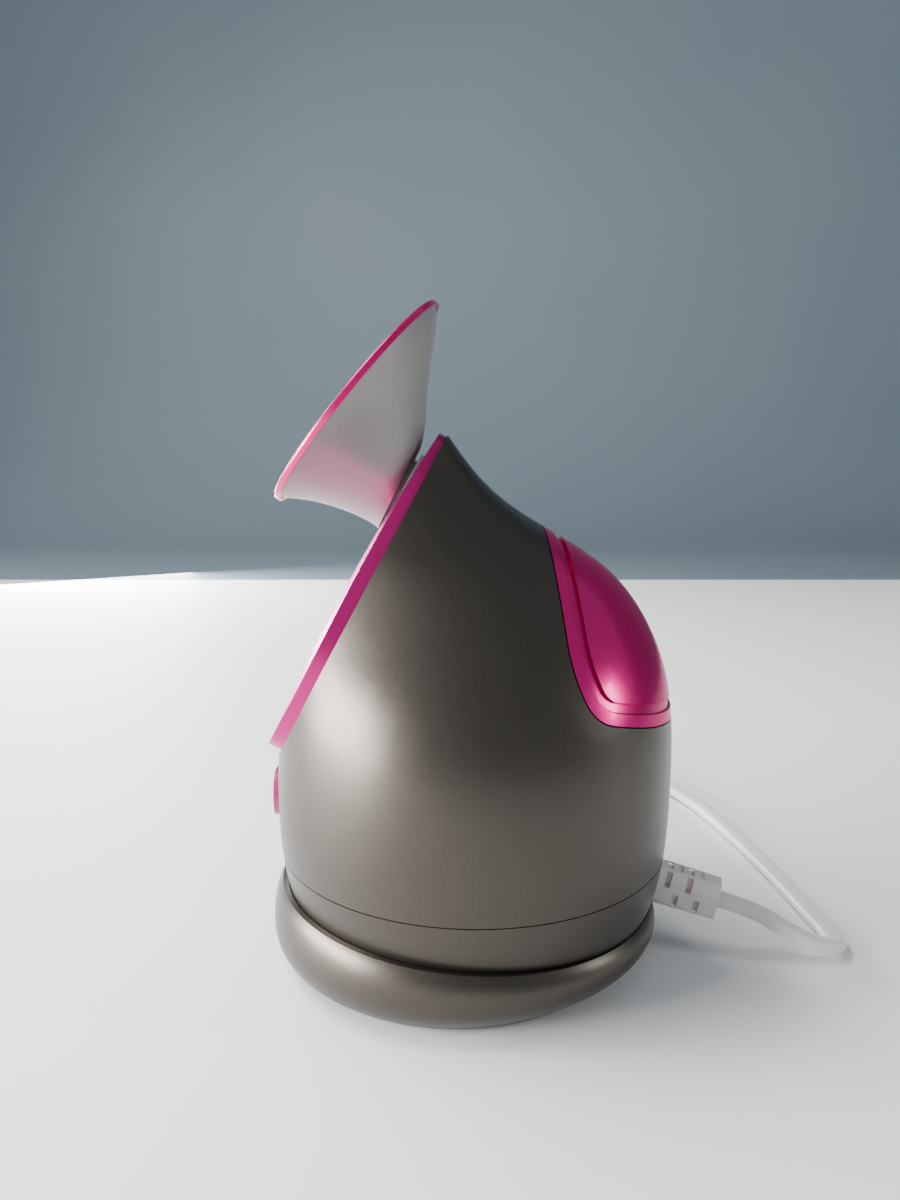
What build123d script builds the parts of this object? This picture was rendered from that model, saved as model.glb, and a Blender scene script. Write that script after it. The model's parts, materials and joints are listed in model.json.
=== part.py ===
"""Small table-top cool mist humidifier: a teardrop housing on a wedge-shaped base ring.

Millimetres. +Z is up, -Y is the front, +X is to the right when facing the front panel,
and the origin is the centre of the base on the table.
"""
from build123d import *
import os
from math import cos, pi, radians, sin, tan

os.makedirs("parts", exist_ok=True)

# ---------------------------------------------------------------- driving dimensions
WALL = 2.4                 # housing wall, measured level
CAVITY_DROP = 1.5          # the hollow is this much lower, so that the sloping roof is as thick
SEAM_Z = 32.0              # joint between the lower and the upper housing
SEAM_GAP = 0.3
FLOOR_Z = 4.8              # underside of the lower housing
FIT = 0.35                 # gap between the lift-out tank and its recess

# Level sections of the teardrop: height, foremost Y, rearmost Y, half width.
TEARDROP = [
    (4.0, -46.0, 48.5, 46.5),
    (17.0, -51.5, 55.3, 52.5),
    (32.0, -54.5, 58.7, 55.8),
    (48.0, -55.2, 59.6, 57.4),
    (64.0, -54.6, 59.6, 57.2),
    (80.0, -53.5, 58.3, 54.0),
    (96.0, -50.5, 53.2, 46.0),
    (110.0, -46.8, 43.8, 36.5),
    (122.0, -43.5, 27.8, 27.5),
    (133.0, -40.5, 10.4, 20.5),
    (142.0, -37.0, 1.3, 16.5),
    (151.0, -32.5, -5.3, 13.0),
    (158.0, -28.0, -10.5, 9.0),
]

# The front is cut by a sloping plane that carries the panel.
APEX = (0.0, -5.3, 151.0)
PANEL_TILT = 28.2          # elevation of the panel's outward normal
OUTWARD = (0.0, -cos(radians(PANEL_TILT)), sin(radians(PANEL_TILT)))
UPHILL = (0.0, sin(radians(PANEL_TILT)), cos(radians(PANEL_TILT)))
cut_plane = Plane(origin=APEX, x_dir=(1, 0, 0), z_dir=OUTWARD)
PANEL_CROWN = 5.6          # height of its domed middle
PANEL_GAP = 0.7            # dark line left around it

# Nozzle: it swivels about the panel's normal.
NOZZLE_DOWN = 19.6         # distance of its axis below the apex, along the panel
nozzle_plane = Plane(
    origin=Vector(*APEX) - Vector(*UPHILL) * NOZZLE_DOWN, x_dir=(1, 0, 0), z_dir=OUTWARD
)
NECK_R = 12.9
NECK_LIFT = 5.1            # underside of the neck above the cut plane
SPIGOT_R = 9.0
SPIGOT_BORE_R = 7.4
COLLAR_R = 11.2
BELL_WALL = 1.7
# Bell sections above the neck: centre Y, centre Z, radius, elevation of the normal.
BELL = [
    (-19.8, 139.6, 15.2, 31.6),
    (-22.3, 144.9, 19.1, 35.6),
    (-25.6, 151.6, 25.1, 38.4),
    (-30.5, 159.6, 34.0, 40.0),
]

# Tank recess, seen from the side, and the well under the tank's cap.
RECESS_FRONT_TOP = (20.2, 136.0)
RECESS_FRONT_LOW = (25.2, 92.0)
RECESS_FLOOR_FRONT = (31.0, 80.6)
RECESS_FLOOR_REAR = (72.0, 68.4)
RECESS_SWEEP_R = 40.0
RECESS_CORNER_R = 12.0
WELL_Y = 40.0
WELL_R = 12.5
CAP_R = 11.2
CAP_TOP_Z = 71.0
CAP_BOTTOM_Z = 62.0
TANK_WALL = 2.0

# Mist chamber, basin and chimney.
MIST_Y = 2.3
BASIN_FLOOR_Z = 42.0
BASIN_TOP_Z = 58.0
BASIN_R = 15.5
BASIN_WALL = 1.8
CHIMNEY_R = 9.0
CHIMNEY_BORE_R = 7.6
CHIMNEY_BEND_R = 11.5

FLOAT_Y = 21.0
FLOAT_POST_R = 1.5
AIR_R = 6.2
AIR_BORE_R = 5.0
BASIN_LEGS = [(-8.0, 15.5), (5.0, 15.5), (-9.0, 33.2), (9.0, 33.2)]
BASIN_LEG_R = 1.8

# Base.
FOOT_H = 1.5
PLATE_Z = 3.0
PLATE_R = 46.0
RING_R = 57.5
FLANGE_IN_R = 37.0
BOSS_H = 8.0
FEET = [(34.0, -34.0), (-34.0, -34.0), (16.5, 39.5), (-16.5, 39.5)]
FOOT_R = 3.3
FOOT_RECESS = 0.6
BOARD_Z = 9.0              # underside of the boards
BOARD_T = 1.6
PEG_HOLE_R = 1.05
POWER_PEGS = [(12.0, -17.0), (30.0, -17.0), (12.0, 12.0), (30.0, 12.0)]
DRIVER_PEGS = [(-18.0, 20.5), (8.0, 20.5), (-18.0, 28.0), (8.0, 28.0)]

# Cord: a flat two-core lead, and where it lies.
CORD_W = 6.5
CORD_T = 4.4
CORD_Z = CORD_T / 2 + 0.3
RELIEF_ROOT = (0.0, 52.0, 19.0)
CORD_EXIT = (6.0, 75.4, 14.1)
COIL_CENTRE = (-118.0, 16.0)
COIL_MID_R = 36.0
COIL_HEIGHT = 3 * CORD_T + 0.4
COIL_IN_R = COIL_MID_R - CORD_W - 0.3
COIL_OUT_R = COIL_MID_R + CORD_W + 0.3


# ---------------------------------------------------------------- shared forms
def teardrop(inset=0.0, drop=0.0):
    """The whole housing form, shrunk level by inset and lowered by drop."""
    with BuildPart() as form:
        for z, front, rear, half_width in TEARDROP:
            with BuildSketch(Plane.XY.offset(z - drop)):
                with Locations((0, (front + rear) / 2)):
                    Ellipse(half_width - inset, (rear - front) / 2 - inset)
        loft()
    return form.part


def behind_panel(depth=0.0, size=400.0):
    """Everything behind the sloping cut plane, less depth."""
    with BuildPart() as block:
        with Locations(cut_plane.offset(-depth)):
            Box(size, size, size, align=(Align.CENTER, Align.CENTER, Align.MAX))
    return block.part


def recess(grow=0.0):
    """The tank's recess, a prism along X that is open to the rear and the top."""
    with BuildPart() as prism:
        with BuildSketch(Plane.YZ) as side:
            with BuildLine():
                Polyline(
                    (140, 136), RECESS_FRONT_TOP, RECESS_FRONT_LOW, RECESS_FLOOR_FRONT,
                    RECESS_FLOOR_REAR, (140, 48), close=True,
                )
            make_face()
            fillet(side.vertices().sort_by(Axis.X)[1], radius=RECESS_SWEEP_R)
            corner = side.vertices().sort_by_distance(Vector(*RECESS_FLOOR_FRONT))[0]
            fillet(corner, radius=RECESS_CORNER_R)
            if grow:
                offset(amount=grow)
        extrude(amount=80, both=True)
    return prism.part


def level_slab(bottom, top, size=400.0):
    """A wide slab between two heights."""
    with BuildPart() as slab:
        with Locations((0, 0, bottom)):
            Box(size, size, top - bottom, align=(Align.CENTER, Align.CENTER, Align.MIN))
    return slab.part


outer_form = teardrop()
inner_form = teardrop(WALL, CAVITY_DROP)

# ---------------------------------------------------------------- upper housing
with BuildPart() as upper_cavity:
    add(inner_form)
    add(behind_panel(WALL), mode=Mode.INTERSECT)
    add(recess(WALL), mode=Mode.SUBTRACT)

BUTTON_Z = 46.0
BUTTON_HALF = (8.5, 7.0)   # half width and half height of the power button
BUTTON_PROUD = 1.6
BUTTON_TRAVEL = 1.2
button_plane = Plane(origin=(0, 0, BUTTON_Z), x_dir=(1, 0, 0), z_dir=(0, -1, 0))

SWITCH_BOARD_Y = -41.0     # its front face
switch_plane = button_plane.offset(-SWITCH_BOARD_Y)
SWITCH_BOSSES = [(-8.5, -8.4), (8.5, -8.4), (-8.5, 10.0), (8.5, 10.0)]

SCREW_CIRCLE_R = 42.0      # four long screws tie the housings, four short ones hold the ring
POST_R = 3.6
POST_TOP_Z = 35.2          # where the lower and the upper posts meet
POST_REACH = 10.0
SCREW_R = 1.5
SHANK_R = SCREW_R - 0.1
HEAD_R = 2.8

with BuildPart() as upper_housing:
    add(outer_form)
    add(behind_panel(), mode=Mode.INTERSECT)
    add(recess(), mode=Mode.SUBTRACT)
    add(upper_cavity.part, mode=Mode.SUBTRACT)
    add(level_slab(0, SEAM_Z + SEAM_GAP), mode=Mode.SUBTRACT)
    with BuildSketch(nozzle_plane.offset(5)):
        Circle(COLLAR_R + 0.2)
    extrude(amount=-5 - WALL - 3, mode=Mode.SUBTRACT)
    with BuildSketch(button_plane.offset(40)):
        Ellipse(BUTTON_HALF[0] + 0.3, BUTTON_HALF[1] + 0.3)
    extrude(amount=30, mode=Mode.SUBTRACT)
    # skirt of the well that the tank's cap drops into
    with BuildSketch(Plane.XY.offset(BASIN_TOP_Z + 2.2)):
        with Locations((0, WELL_Y)):
            Circle(WELL_R + WALL)
    extrude(amount=19.0)
    add(recess(), mode=Mode.SUBTRACT)
    with BuildSketch(Plane.XY.offset(BASIN_TOP_Z)):
        with Locations((0, WELL_Y)):
            Circle(WELL_R)
    extrude(amount=30, mode=Mode.SUBTRACT)
    # screw posts, blind from below, each on a web to the wall
    with BuildSketch(Plane.XY.offset(POST_TOP_Z)):
        with PolarLocations(SCREW_CIRCLE_R, 4, start_angle=45):
            Circle(POST_R)
        with PolarLocations(SCREW_CIRCLE_R + 7, 4, start_angle=45):
            Rectangle(14, 2)
    extrude(amount=POST_REACH)
    # bosses for the switch board, inside the front wall
    with BuildSketch(switch_plane):
        with Locations(*SWITCH_BOSSES):
            Circle(2.0)
    extrude(amount=20)
    add(outer_form, mode=Mode.INTERSECT)
    with BuildSketch(switch_plane):
        with Locations(*SWITCH_BOSSES):
            Circle(PEG_HOLE_R)
    extrude(amount=5, mode=Mode.SUBTRACT)
    with BuildSketch(Plane.XY.offset(POST_TOP_Z)):
        with PolarLocations(SCREW_CIRCLE_R, 4, start_angle=45):
            Circle(SCREW_R)
    extrude(amount=POST_REACH - 1.5, mode=Mode.SUBTRACT)
upper_housing.part.label = "upper_housing"
export_step(upper_housing.part, "parts/upper_housing.step")

# ---------------------------------------------------------------- lower housing
TONGUE_H = 3.0
relief_axis = Vector(*CORD_EXIT) - Vector(*RELIEF_ROOT)
relief_plane = Plane(
    origin=RELIEF_ROOT, x_dir=Vector(0, 0, 1).cross(relief_axis), z_dir=relief_axis
)
RELIEF_LENGTH = relief_axis.length
RELIEF_W = 9.4
RELIEF_H = 12.4

with BuildPart() as lower_hollow:
    add(teardrop(WALL))
    add(level_slab(FLOOR_Z + 2.0, 60), mode=Mode.INTERSECT)

with BuildPart() as tongue:
    add(teardrop(WALL - 0.1))
    add(teardrop(WALL + 1.8), mode=Mode.SUBTRACT)
    add(level_slab(SEAM_Z - 5, SEAM_Z + TONGUE_H), mode=Mode.INTERSECT)
    add(level_slab(SEAM_Z, SEAM_Z + 5), mode=Mode.SUBTRACT)
    add(
        (teardrop(WALL + 0.15) - teardrop(WALL + 1.8)) & level_slab(SEAM_Z - 1, SEAM_Z + TONGUE_H)
    )

with BuildPart() as lower_housing:
    add(outer_form)
    add(level_slab(FLOOR_Z, SEAM_Z), mode=Mode.INTERSECT)
    add(lower_hollow.part, mode=Mode.SUBTRACT)
    add(tongue.part)
    with BuildSketch(Plane.XY.offset(FLOOR_Z)):
        with PolarLocations(SCREW_CIRCLE_R, 4, start_angle=45):
            Circle(POST_R)
    extrude(amount=POST_TOP_Z - FLOOR_Z)
    with BuildSketch(Plane.XY.offset(FLOOR_Z)):
        with PolarLocations(SCREW_CIRCLE_R, 4):
            Circle(POST_R)
    extrude(amount=BOSS_H)
    # open floor inside a flange that the base plate screws to
    with BuildSketch(Plane.XY):
        Circle(FLANGE_IN_R)
    extrude(amount=SEAM_Z + 10, mode=Mode.SUBTRACT)
    with BuildSketch(Plane.XY):
        with PolarLocations(SCREW_CIRCLE_R, 4, start_angle=45):
            Circle(SCREW_R)
    extrude(amount=POST_TOP_Z + 1, mode=Mode.SUBTRACT)
    with BuildSketch(Plane.XY):
        with PolarLocations(SCREW_CIRCLE_R, 4):
            Circle(SCREW_R)
    extrude(amount=FLOOR_Z + BOSS_H - 1.5, mode=Mode.SUBTRACT)
    # window for the strain relief
    with BuildSketch(relief_plane):
        RectangleRounded(RELIEF_W - 1.0, RELIEF_H - 1.0, 3.0)
    extrude(amount=12, both=True, mode=Mode.SUBTRACT)
lower_housing.part.label = "lower_housing"
export_step(lower_housing.part, "parts/lower_housing.step")

# ---------------------------------------------------------------- base
# The ring is a barrel that is higher at the front and undercut at the rear:
# height at the centre, slope in degrees, centre Y, radius.
RING_SECTIONS = [
    (1.5, 0.0, -3.2, 50.0), (4.6, 0.5, -3.1, 53.3), (10.0, 1.7, -0.9, RING_R - 0.9),
    (15.6, 2.9, 0.0, 56.6), (19.2, 3.5, 0.0, 54.8),
]
WEB_T = 1.4
WEB_IN_R = 30.0
HOUSING_CLEARANCE = 0.3

with BuildPart() as relief_clearance:
    with BuildSketch(relief_plane.offset(2)):
        RectangleRounded(RELIEF_W + 1.0, RELIEF_H + 1.0, 3.5)
    extrude(amount=RELIEF_LENGTH)

with BuildPart() as base_ring:
    for z, slope, centre_y, radius in RING_SECTIONS:
        with BuildSketch(Plane(origin=(0, centre_y, z), x_dir=(1, 0, 0), z_dir=(
                0, sin(radians(slope)), cos(radians(slope))))):
            Circle(radius)
    loft()
    add(teardrop(-HOUSING_CLEARANCE), mode=Mode.SUBTRACT)
    with BuildSketch(Plane.XY.offset(FOOT_H + WEB_T)):
        Circle(PLATE_R + HOUSING_CLEARANCE)
    extrude(amount=2.5, mode=Mode.SUBTRACT)
    with BuildSketch(Plane.XY):
        Circle(WEB_IN_R)
    extrude(amount=10, mode=Mode.SUBTRACT)
    with BuildSketch(Plane.XY):
        with PolarLocations(SCREW_CIRCLE_R, 8):
            Circle(HEAD_R + 0.2)
    extrude(amount=10, mode=Mode.SUBTRACT)
    with BuildSketch(Plane.XY):
        with Locations(*FEET):
            Circle(FOOT_R)
    extrude(amount=FOOT_H + FOOT_RECESS, mode=Mode.SUBTRACT)
    add(relief_clearance.part, mode=Mode.SUBTRACT)
base_ring.part.label = "base_ring"
export_step(base_ring.part, "parts/base_ring.step")

with BuildPart() as rubber_feet:
    with BuildSketch():
        with Locations(*FEET):
            Circle(FOOT_R - 0.1)
    extrude(amount=FOOT_H + FOOT_RECESS)
    fillet(rubber_feet.faces().sort_by(Axis.Z)[:4].edges(), radius=0.5)
rubber_feet.part.label = "rubber_feet"
export_step(rubber_feet.part, "parts/rubber_feet.step")

FAN_CENTRE = (-10.0, -9.0)
INTAKE_SLOTS = 7
with BuildPart() as base_plate:
    with BuildSketch(Plane.XY.offset(PLATE_Z)):
        Circle(PLATE_R)
        with PolarLocations(SCREW_CIRCLE_R, 8):
            Circle(SCREW_R, mode=Mode.SUBTRACT)
        with Locations(FAN_CENTRE):
            with GridLocations(0, 4.0, 1, INTAKE_SLOTS):
                SlotOverall(24, 2.2, mode=Mode.SUBTRACT)
    extrude(amount=FLOOR_Z - PLATE_Z)
    # pegs that carry the boards
    with BuildSketch(Plane.XY.offset(FLOOR_Z)):
        with Locations(*POWER_PEGS, *DRIVER_PEGS):
            Circle(2.0)
    extrude(amount=BOARD_Z - FLOOR_Z)
    with BuildSketch(Plane.XY.offset(FLOOR_Z + 0.2)):
        with Locations(*POWER_PEGS, *DRIVER_PEGS):
            Circle(PEG_HOLE_R)
    extrude(amount=BOARD_Z, mode=Mode.SUBTRACT)
base_plate.part.label = "base_plate"
export_step(base_plate.part, "parts/base_plate.step")

with BuildPart() as base_screws:
    with BuildSketch(Plane.XY.offset(PLATE_Z - WEB_T)):
        with PolarLocations(SCREW_CIRCLE_R, 4):
            Circle(HEAD_R)
    extrude(amount=WEB_T)
    with BuildSketch(Plane.XY.offset(PLATE_Z)):
        with PolarLocations(SCREW_CIRCLE_R, 4):
            Circle(SHANK_R)
    extrude(amount=8)
    with BuildSketch(Plane.XY.offset(PLATE_Z - WEB_T)):
        with PolarLocations(SCREW_CIRCLE_R, 4):
            Rectangle(3.4, 0.7)
            Rectangle(0.7, 3.4)
    extrude(amount=0.8, mode=Mode.SUBTRACT)
base_screws.part.label = "base_screws"
export_step(base_screws.part, "parts/base_screws.step")

with BuildPart() as housing_screws:
    with BuildSketch(Plane.XY.offset(PLATE_Z - WEB_T)):
        with PolarLocations(SCREW_CIRCLE_R, 4, start_angle=45):
            Circle(HEAD_R)
    extrude(amount=WEB_T)
    with BuildSketch(Plane.XY.offset(PLATE_Z)):
        with PolarLocations(SCREW_CIRCLE_R, 4, start_angle=45):
            Circle(SHANK_R)
    extrude(amount=POST_TOP_Z + POST_REACH - 3 - PLATE_Z)
    with BuildSketch(Plane.XY.offset(PLATE_Z - WEB_T)):
        with PolarLocations(SCREW_CIRCLE_R, 4, start_angle=45):
            Rectangle(3.4, 0.7)
            Rectangle(0.7, 3.4)
    extrude(amount=0.8, mode=Mode.SUBTRACT)
housing_screws.part.label = "housing_screws"
export_step(housing_screws.part, "parts/housing_screws.step")

# ---------------------------------------------------------------- front panel
PANEL_BOW_R = 560.0        # curve of the face along the slope
PANEL_CAMBER_R = 260.0     # and across it
PANEL_MIDDLE = 62.0        # distance of the highest point below the apex
PANEL_HALF = 70.0
PANEL_CAMBER_ARC = 12.0    # degrees of camber to each side of the middle

with BuildPart() as panel_dome:
    bow_plane = Plane(
        origin=Vector(*APEX) - Vector(*UPHILL) * PANEL_MIDDLE, x_dir=UPHILL, z_dir=(1, 0, 0)
    )
    with BuildSketch(bow_plane):
        with BuildLine():
            end_drop = PANEL_CROWN - PANEL_HALF ** 2 / (2 * PANEL_BOW_R)
            face_curve = ThreePointArc(
                (-PANEL_HALF, end_drop), (0, PANEL_CROWN), (PANEL_HALF, end_drop)
            )
            Polyline(face_curve @ 1, (PANEL_HALF, -20), (-PANEL_HALF, -20), face_curve @ 0)
        make_face()
    camber_axis = Axis(
        bow_plane.origin + Vector(*OUTWARD) * (PANEL_CROWN - PANEL_CAMBER_R), UPHILL
    )
    revolve(axis=camber_axis, revolution_arc=2 * PANEL_CAMBER_ARC)
panel_face = panel_dome.part.rotate(camber_axis, -PANEL_CAMBER_ARC)

panel_outline = cut_plane.to_local_coords(section(teardrop(PANEL_GAP), section_by=cut_plane))

with BuildPart() as front_panel:
    with BuildSketch(cut_plane):
        add(panel_outline)
        with Locations((0, -NOZZLE_DOWN)):
            Circle(COLLAR_R + 0.2, mode=Mode.SUBTRACT)
    extrude(amount=PANEL_CROWN + 2)
    add(panel_face, mode=Mode.INTERSECT)
front_panel.part.label = "front_panel"
export_step(front_panel.part, "parts/front_panel.step")

# ---------------------------------------------------------------- nozzle bearing
COLLAR_TOP = 3.9
COLLAR_FLANGE_R = 13.0
COLLAR_FLANGE_T = 1.5
RUNNING = 0.08             # radial clearance of the swivel
collar_back = -WALL - COLLAR_FLANGE_T

with BuildPart() as nozzle_collar:
    with BuildSketch(nozzle_plane.offset(collar_back)):
        Circle(COLLAR_FLANGE_R)
    extrude(amount=COLLAR_FLANGE_T)
    with BuildSketch(nozzle_plane.offset(-WALL)):
        Circle(COLLAR_R)
    extrude(amount=COLLAR_TOP + WALL)
    with BuildSketch(nozzle_plane.offset(collar_back)):
        Circle(SPIGOT_R + RUNNING)
    extrude(amount=20, mode=Mode.SUBTRACT)
nozzle_collar.part.label = "nozzle_collar"
export_step(nozzle_collar.part, "parts/nozzle_collar.step")

# ---------------------------------------------------------------- nozzle
SPIGOT_END = collar_back - 2.4
GROOVE_AT = -0.6
SEAL_R = 0.55

NECK_FLOOR_T = 1.6

neck_plane = nozzle_plane.offset(NECK_LIFT)


def bell_form(inset):
    """The flared trumpet, lofted through circles that turn from the neck to the mouth."""
    with BuildPart() as form:
        with BuildSketch(neck_plane):
            Circle(NECK_R - inset)
        for y, z, radius, elevation in BELL:
            normal = (0, -cos(radians(elevation)), sin(radians(elevation)))
            with BuildSketch(Plane(origin=(0, y, z), x_dir=(1, 0, 0), z_dir=normal)):
                Circle(radius - inset)
        loft()
    return form.part


mouth_y, mouth_z, MOUTH_R, mouth_elevation = BELL[-1]
mouth_plane = Plane(
    origin=(0, mouth_y, mouth_z), x_dir=(1, 0, 0),
    z_dir=(0, -cos(radians(mouth_elevation)), sin(radians(mouth_elevation))),
)

with BuildPart() as nozzle_bell:
    add(bell_form(0))
    add(bell_form(BELL_WALL), mode=Mode.SUBTRACT)
    with BuildSketch(neck_plane):
        Circle(NECK_R - 0.5)
    extrude(amount=NECK_FLOOR_T)
    with BuildSketch(nozzle_plane.offset(SPIGOT_END)):
        Circle(SPIGOT_R)
    extrude(amount=NECK_LIFT - SPIGOT_END)
    with BuildSketch(nozzle_plane.offset(SPIGOT_END)):
        Circle(SPIGOT_BORE_R)
    extrude(amount=NECK_LIFT - SPIGOT_END + 3, mode=Mode.SUBTRACT)
    for groove_at, groove_w, groove_r in (
            (GROOVE_AT, 2.2 * SEAL_R, SPIGOT_R - 2 * SEAL_R),
            (collar_back - 1.5, 1.2, SPIGOT_R - 0.6)):
        with BuildSketch(nozzle_plane.offset(groove_at)):
            Circle(SPIGOT_R + 1)
            Circle(groove_r, mode=Mode.SUBTRACT)
        extrude(amount=groove_w, mode=Mode.SUBTRACT)
nozzle_bell.part.label = "nozzle_bell"
export_step(nozzle_bell.part, "parts/nozzle_bell.step")

RIM_SKIRT = 0.5
RIM_TOP = 1.3
RIM_T = 1.0
with BuildPart() as nozzle_rim:
    with BuildSketch(mouth_plane.offset(-RIM_SKIRT)):
        Circle(MOUTH_R + RIM_T)
        Circle(MOUTH_R, mode=Mode.SUBTRACT)
    extrude(amount=RIM_SKIRT)
    with BuildSketch(mouth_plane):
        Circle(MOUTH_R + RIM_T)
        Circle(MOUTH_R - BELL_WALL - 0.3, mode=Mode.SUBTRACT)
    extrude(amount=RIM_TOP)
    crown = nozzle_rim.faces().sort_by(Axis(mouth_plane.origin, mouth_plane.z_dir))[-1]
    fillet(crown.edges(), radius=0.6)
nozzle_rim.part.label = "nozzle_rim"
export_step(nozzle_rim.part, "parts/nozzle_rim.step")

with BuildPart() as nozzle_seal:
    seal_plane = nozzle_plane.offset(GROOVE_AT + 1.1 * SEAL_R)
    with BuildSketch(Plane(seal_plane.origin, x_dir=UPHILL, z_dir=(1, 0, 0))):
        with Locations((SPIGOT_R - SEAL_R, 0)):
            Circle(SEAL_R)
    revolve(axis=Axis(seal_plane.origin, OUTWARD))
nozzle_seal.part.label = "nozzle_seal"
export_step(nozzle_seal.part, "parts/nozzle_seal.step")

with BuildPart() as nozzle_clip:
    with BuildSketch(nozzle_plane.offset(collar_back - 1.4)):
        Circle(SPIGOT_R + 1.5)
        Circle(SPIGOT_R - 0.6, mode=Mode.SUBTRACT)
        with Locations((0, -SPIGOT_R)):
            Rectangle(5, 6, mode=Mode.SUBTRACT)
    extrude(amount=1.0)
nozzle_clip.part.label = "nozzle_clip"
export_step(nozzle_clip.part, "parts/nozzle_clip.step")

# ---------------------------------------------------------------- tank
GROOVE_IN = 2.8            # broad shallow channel that follows the window's border
GROOVE_W = 2.4
GROOVE_DEPTH = 0.6

with BuildPart() as border_groove:
    add(outer_form)
    add(teardrop(GROOVE_DEPTH, GROOVE_DEPTH), mode=Mode.SUBTRACT)
    add(recess(-FIT - GROOVE_IN), mode=Mode.INTERSECT)
    add(recess(-FIT - GROOVE_IN - GROOVE_W), mode=Mode.SUBTRACT)

with BuildPart() as tank_room:
    add(teardrop(TANK_WALL, 1.2))
    add(recess(-FIT - TANK_WALL), mode=Mode.INTERSECT)

with BuildPart() as tank_shell:
    add(outer_form)
    add(teardrop(TANK_WALL, 1.2), mode=Mode.SUBTRACT)
    add(recess(-FIT), mode=Mode.INTERSECT)
    add(border_groove.part, mode=Mode.SUBTRACT)
tank_shell.part.label = "tank_shell"
export_step(tank_shell.part, "parts/tank_shell.step")

NECK_OUT_R = 8.4
NECK_BORE_R = 6.8
CAP_FLOOR_T = 2.0
CAP_FLOOR_Z = CAP_BOTTOM_Z + CAP_FLOOR_T
CAP_SEAL_T = 1.0
with BuildPart() as tank_base:
    add(teardrop(TANK_WALL, 1.2))
    add(recess(-FIT), mode=Mode.INTERSECT)
    add(tank_room.part, mode=Mode.SUBTRACT)
    with BuildSketch(Plane.XY.offset(CAP_FLOOR_Z + CAP_SEAL_T)):
        with Locations((0, WELL_Y)):
            Circle(NECK_OUT_R)
    extrude(amount=15)
    add(tank_room.part, mode=Mode.SUBTRACT)
    with BuildSketch(Plane.XY.offset(CAP_BOTTOM_Z)):
        with Locations((0, WELL_Y)):
            Circle(NECK_BORE_R)
    extrude(amount=22, mode=Mode.SUBTRACT)
tank_base.part.label = "tank_base"
export_step(tank_base.part, "parts/tank_base.step")

# ---------------------------------------------------------------- tank cap and valve
THREAD_GAP = 0.05
CAP_RIBS = 16
STEM_R = 1.9

with BuildPart() as tank_cap:
    with BuildSketch(Plane.XY.offset(CAP_BOTTOM_Z)):
        with Locations((0, WELL_Y)):
            Circle(CAP_R)
            with PolarLocations(CAP_R, CAP_RIBS):
                Circle(0.7, mode=Mode.SUBTRACT)
    extrude(amount=CAP_TOP_Z - CAP_BOTTOM_Z)
    with BuildSketch(Plane.XY.offset(CAP_FLOOR_Z)):
        with Locations((0, WELL_Y)):
            Circle(NECK_OUT_R + THREAD_GAP)
    extrude(amount=20, mode=Mode.SUBTRACT)
    with BuildSketch(Plane.XY.offset(CAP_BOTTOM_Z)):
        with Locations((0, WELL_Y)):
            Circle(4.2)
    extrude(amount=CAP_FLOOR_T, mode=Mode.SUBTRACT)
    # spider that guides the valve stem inside the outlet
    with BuildSketch(Plane.XY.offset(CAP_BOTTOM_Z)):
        with Locations((0, WELL_Y)):
            Circle(STEM_R + 1.0)
            with PolarLocations(0, 3):
                with Locations((2.4, 0)):
                    Rectangle(4.0, 0.9)
            Circle(STEM_R + THREAD_GAP, mode=Mode.SUBTRACT)
    extrude(amount=1.2)
tank_cap.part.label = "tank_cap"
export_step(tank_cap.part, "parts/tank_cap.step")

with BuildPart() as cap_seal:
    with BuildSketch(Plane.XY.offset(CAP_FLOOR_Z)):
        with Locations((0, WELL_Y)):
            Circle(NECK_OUT_R - 0.1)
            Circle(NECK_BORE_R - 0.2, mode=Mode.SUBTRACT)
    extrude(amount=CAP_SEAL_T)
cap_seal.part.label = "cap_seal"
export_step(cap_seal.part, "parts/cap_seal.step")

with BuildPart() as valve_plunger:
    with BuildSketch(Plane.XY.offset(CAP_BOTTOM_Z - 0.6)):
        with Locations((0, WELL_Y)):
            Circle(STEM_R)
    extrude(amount=9.0)
    with BuildSketch(Plane.XY.offset(CAP_FLOOR_Z + 1.1)):
        with Locations((0, WELL_Y)):
            Circle(5.2)
    extrude(amount=1.0)
valve_plunger.part.label = "valve_plunger"
export_step(valve_plunger.part, "parts/valve_plunger.step")

with BuildPart() as valve_seal:
    with BuildSketch(Plane.XY.offset(CAP_FLOOR_Z + 0.05)):
        with Locations((0, WELL_Y)):
            Circle(5.6)
            Circle(STEM_R, mode=Mode.SUBTRACT)
    extrude(amount=1.05)
valve_seal.part.label = "valve_seal"
export_step(valve_seal.part, "parts/valve_seal.step")

SPRING_R = 3.2
SPRING_WIRE_R = 0.35
SPRING_BOTTOM_Z = CAP_FLOOR_Z + 2.1 + SPRING_WIRE_R
SPRING_TOP_Z = 76.0
SPRING_TURNS = 4.5
with BuildPart() as valve_spring:
    with BuildLine():
        coil_path = Helix(
            pitch=(SPRING_TOP_Z - SPRING_BOTTOM_Z) / SPRING_TURNS,
            height=SPRING_TOP_Z - SPRING_BOTTOM_Z, radius=SPRING_R,
            center=(0, WELL_Y, SPRING_BOTTOM_Z),
        )
    with BuildSketch(Plane(origin=coil_path @ 0, z_dir=coil_path % 0)):
        Circle(SPRING_WIRE_R)
    sweep(path=coil_path, is_frenet=True)
valve_spring.part.label = "valve_spring"
export_step(valve_spring.part, "parts/valve_spring.step")

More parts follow.
